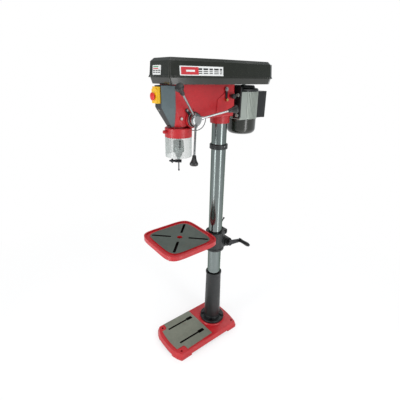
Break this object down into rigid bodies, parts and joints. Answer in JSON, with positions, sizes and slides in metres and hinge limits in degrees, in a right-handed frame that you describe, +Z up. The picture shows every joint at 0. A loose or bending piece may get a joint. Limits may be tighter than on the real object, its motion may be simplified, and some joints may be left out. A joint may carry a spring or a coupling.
{
  "type": "drill press",
  "caption": "Floor-standing belt-driven drill press: cast base, round column, tilting rack-lifted table, geared quill feed with three levers, key chuck and guard.",
  "frame": {"origin": "centre of the four anchor holes in the base, at floor level", "axes": "+Z up along the column, -Y towards the operator, +X to the operator's right, where the feed levers and the table crank are"},
  "size_m": [0.3257, 0.713, 1.65],
  "materials": {
    "red_paint": "gloss red casting paint",
    "black_paint": "satin black paint",
    "cover_gloss": "gloss black moulded cover",
    "nose_grey": "dark grey satin paint",
    "ground_steel": "ground and polished",
    "bright_steel": "polished plated steel",
    "zinc": "zinc plated",
    "machined_iron": "ground cast iron",
    "black_oxide": "black oxide",
    "rack_steel": "dark milled steel",
    "aluminium": "bare extruded",
    "pulley_alu": "turned casting",
    "switch_yellow": "moulded",
    "button_red": "moulded",
    "button_green": "moulded",
    "knob_black": "moulded phenolic",
    "clear_guard": "clear polycarbonate",
    "belt_rubber": "rubber and cord",
    "lead_black": "flexible lead"
  },
  "bodies": {
    "root": {"base": "red_paint", "column_support": "black_paint", "support_bolts": "black_oxide", "column": "ground_steel", "rack_collar": "black_paint", "head_casting": "red_paint", "cap_screws": "zinc", "nose_cover": "nose_grey", "switch_box": "switch_yellow", "feed_flange": "black_paint", "spring_cap": "black_paint", "return_spring": "ground_steel", "guard_collar": "red_paint", "guard_lead": "lead_black", "sleeve_bearings": "ground_steel", "idler_bracket": "machined_iron", "pulley_tray": "cover_gloss", "front_belt": "belt_rubber", "rear_belt": "belt_rubber"},
    "lid": {"cover_lid": "cover_gloss"},
    "flap": {"switch_flap": "switch_yellow"},
    "stop": {"stop_button": "button_red"},
    "start": {"start_button": "button_green"},
    "guard": {"guard_shield": "clear_guard"},
    "rack": {"table_rack": "rack_steel"},
    "bracket": {"table_bracket": "black_paint", "tilt_bolt": "zinc"},
    "crank": {"crank_shaft": "black_oxide"},
    "grip": {"crank_grip": "knob_black"},
    "bracket_clamp": {"bracket_lock": "black_oxide"},
    "arm": {"table_arm": "black_paint"},
    "table_clamp": {"table_lock": "black_oxide"},
    "table": {"table": "red_paint"},
    "quill": {"quill": "ground_steel", "quill_bearings": "ground_steel"},
    "spindle": {"spindle": "ground_steel", "chuck_body": "black_oxide", "chuck_key": "black_oxide"},
    "sleeve": {"chuck_sleeve": "ground_steel"},
    "jaw_a": {"jaw_1": "ground_steel"},
    "jaw_b": {"jaw_2": "ground_steel"},
    "jaw_c": {"jaw_3": "ground_steel"},
    "drive": {"drive_sleeve": "ground_steel", "spindle_pulley": "pulley_alu"},
    "idler": {"idler_pulley": "pulley_alu"},
    "motor": {"motor_plate": "black_paint", "slide_rods": "ground_steel", "stator_housing": "aluminium", "top_bell": "black_paint", "fan_cover": "cover_gloss", "terminal_box": "black_paint"},
    "rotor": {"rotor": "ground_steel", "motor_pulley": "pulley_alu"},
    "feed": {"feed_shaft": "ground_steel", "feed_hub": "bright_steel", "feed_rods": "bright_steel", "feed_knobs": "knob_black"},
    "dial": {"depth_dial": "zinc"},
    "tension": {"tension_lever": "bright_steel"},
    "motor_clamp": {"slide_lock": "knob_black"}
  },
  "joints": [
    {"name": "lid_open", "type": "hinge", "parent": "root", "child": "lid", "pos_m": [-0.1305, 0, 1.577], "axis": [0, -1, 0], "range_deg": [0, 95]},
    {"name": "flap_open", "type": "hinge", "parent": "root", "child": "flap", "pos_m": [0, -0.2558, 1.5315], "axis": [-1, 0, 0], "range_deg": [0, 95]},
    {"name": "stop_press", "type": "slide", "parent": "flap", "child": "stop", "axis": [0, 1, 0], "range_m": [0, 0.0025], "stiffness_N_per_m": 800, "springref_m": -0.002},
    {"name": "start_press", "type": "slide", "parent": "root", "child": "start", "axis": [0, 1, 0], "range_m": [0, 0.002], "stiffness_N_per_m": 800, "springref_m": -0.002},
    {"name": "guard_swing", "type": "hinge", "parent": "root", "child": "guard", "pos_m": [-0.066, -0.135, 0], "axis": [0, 0, -1], "range_deg": [0, 100]},
    {"name": "table_swing", "type": "hinge", "parent": "root", "child": "rack", "pos_m": [0, 0.125, 0], "axis": [0, 0, 1], "range_deg": [-170, 170]},
    {"name": "table_lift", "type": "slide", "parent": "rack", "child": "bracket", "axis": [0, 0, 1], "range_m": [-0.165, 0.29]},
    {"name": "crank_turn", "type": "hinge", "parent": "bracket", "child": "crank", "pos_m": [0, 0.1875, 0.64], "axis": [1, 0, 0], "range_deg": [-595, 1045]},
    {"name": "grip_spin", "type": "hinge", "parent": "crank", "child": "grip", "pos_m": [0, 0.2785, 0.625], "axis": [1, 0, 0], "continuous": true},
    {"name": "bracket_lock_turn", "type": "hinge", "parent": "bracket", "child": "bracket_clamp", "pos_m": [0, 0.187, 0.7], "axis": [1, 0, 0], "range_deg": [-50, 20]},
    {"name": "table_tilt", "type": "hinge", "parent": "bracket", "child": "arm", "pos_m": [0, 0, 0.652], "axis": [0, 1, 0], "range_deg": [-45, 45]},
    {"name": "table_lock_turn", "type": "hinge", "parent": "arm", "child": "table_clamp", "pos_m": [0, -0.179, 0.686], "axis": [1, 0, 0], "range_deg": [-35, 35]},
    {"name": "table_turn", "type": "hinge", "parent": "arm", "child": "table", "pos_m": [0, -0.135, 0], "axis": [0, 0, 1], "continuous": true},
    {"name": "quill_feed", "type": "slide", "parent": "root", "child": "quill", "axis": [0, 0, -1], "range_m": [0, 0.08], "stiffness_N_per_m": 150, "springref_m": -0.6},
    {"name": "feed_turn", "type": "hinge", "parent": "root", "child": "feed", "pos_m": [0, -0.0935, 1.395], "axis": [1, 0, 0], "range_deg": [0, 353]},
    {"name": "dial_set", "type": "hinge", "parent": "feed", "child": "dial", "pos_m": [0, -0.0935, 1.395], "axis": [1, 0, 0], "range_deg": [-170, 170]},
    {"name": "motor_spin", "type": "hinge", "parent": "motor", "child": "rotor", "pos_m": [0, 0.285, 0], "axis": [0, 0, 1], "continuous": true},
    {"name": "idler_spin", "type": "hinge", "parent": "root", "child": "idler", "pos_m": [0, 0.075, 0], "axis": [0, 0, 1], "continuous": true},
    {"name": "pulley_spin", "type": "hinge", "parent": "root", "child": "drive", "pos_m": [0, -0.135, 0], "axis": [0, 0, 1], "continuous": true},
    {"name": "spindle_spin", "type": "hinge", "parent": "quill", "child": "spindle", "pos_m": [0, -0.135, 0], "axis": [0, 0, 1], "continuous": true},
    {"name": "chuck_turn", "type": "hinge", "parent": "spindle", "child": "sleeve", "pos_m": [0, -0.135, 0], "axis": [0, 0, 1], "range_deg": [0, 2160]},
    {"name": "jaw_1_slide", "type": "slide", "parent": "spindle", "child": "jaw_a", "axis": [0, 0.1736, 0.9848], "range_m": [0, 0.012]},
    {"name": "jaw_2_slide", "type": "slide", "parent": "spindle", "child": "jaw_b", "axis": [-0.1504, -0.0868, 0.9848], "range_m": [0, 0.012]},
    {"name": "jaw_3_slide", "type": "slide", "parent": "spindle", "child": "jaw_c", "axis": [0.1504, -0.0868, 0.9848], "range_m": [0, 0.012]},
    {"name": "motor_slide", "type": "slide", "parent": "root", "child": "motor", "axis": [0, 1, 0], "range_m": [-0.0075, 0.006], "deforming": ["rear_belt"]},
    {"name": "tension_turn", "type": "hinge", "parent": "root", "child": "tension", "pos_m": [0, 0.1, 1.5235], "axis": [1, 0, 0], "range_deg": [-18, 15]},
    {"name": "motor_lock_turn", "type": "hinge", "parent": "root", "child": "motor_clamp", "pos_m": [0, 0.133, 1.492], "axis": [1, 0, 0], "range_deg": [-90, 180]}
  ],
  "couplings": [
    {"joint": "crank_turn", "follows": "table_lift", "rad_per_m": 62.5},
    {"joint": "feed_turn", "follows": "quill_feed", "rad_per_m": 76.923},
    {"joint": "tension_turn", "follows": "motor_slide", "rad_per_m": 40},
    {"joint": "idler_spin", "follows": "motor_spin", "ratio": 0.43307},
    {"joint": "pulley_spin", "follows": "motor_spin", "ratio": 0.39215},
    {"joint": "spindle_spin", "follows": "motor_spin", "ratio": 0.39215},
    {"joint": "jaw_1_slide", "follows": "chuck_turn", "m_per_rad": 0.00031831},
    {"joint": "jaw_2_slide", "follows": "chuck_turn", "m_per_rad": 0.00031831},
    {"joint": "jaw_3_slide", "follows": "chuck_turn", "m_per_rad": 0.00031831}
  ]
}
